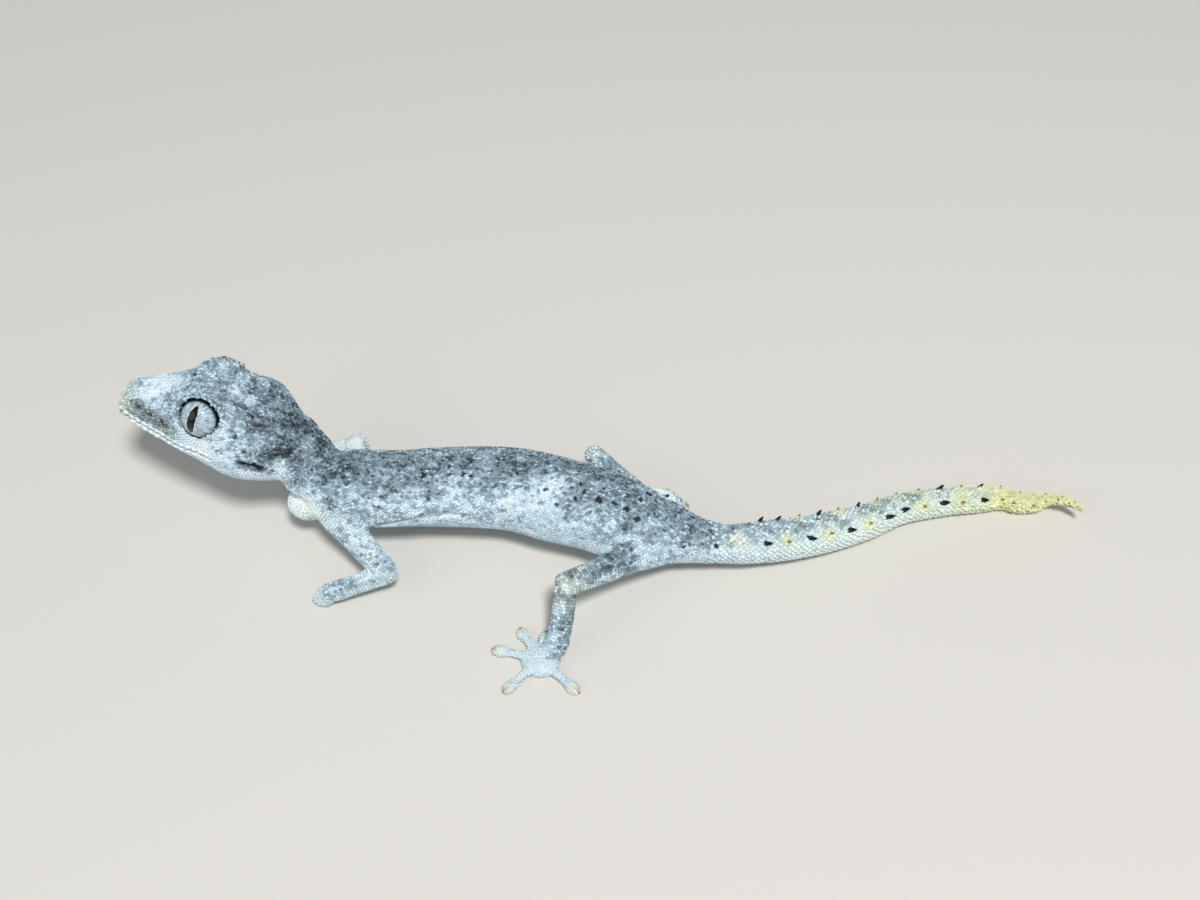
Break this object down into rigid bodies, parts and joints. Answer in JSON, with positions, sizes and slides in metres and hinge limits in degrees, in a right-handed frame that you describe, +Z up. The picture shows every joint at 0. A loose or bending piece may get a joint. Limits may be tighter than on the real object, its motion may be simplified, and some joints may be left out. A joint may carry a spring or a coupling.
{
  "type": "northern spiny-tailed gecko",
  "caption": "Still life-size gecko in mid stride, with a wedge-shaped head, large rimmed eyes, padded toes and rows of soft spines along a tail that rests on the floor",
  "frame": {"origin": "on the floor under the middle of the whole animal's box", "axes": "+X along the tail, the head toward -X, +Y to the animal's right, +Z up"},
  "size_m": [0.1156, 0.0372, 0.0209],
  "materials": {
    "body_skin": "matte",
    "tail_skin": "matte",
    "tail_tip_skin": "matte",
    "eye": "wet gloss"
  },
  "bodies": {
    "root": {"head": "body_skin", "neck": "body_skin", "torso": "body_skin", "tail_base": "tail_skin", "tail_middle": "tail_skin", "tail_tip": "tail_tip_skin", "left_eye": "eye", "right_eye": "eye", "left_upper_arm": "body_skin", "left_forearm": "body_skin", "left_hand": "body_skin", "right_upper_arm": "body_skin", "right_forearm": "body_skin", "right_hand": "body_skin", "left_thigh": "body_skin", "left_shank": "body_skin", "left_foot": "body_skin", "right_thigh": "body_skin", "right_shank": "body_skin", "right_foot": "body_skin"}
  },
  "joints": []
}
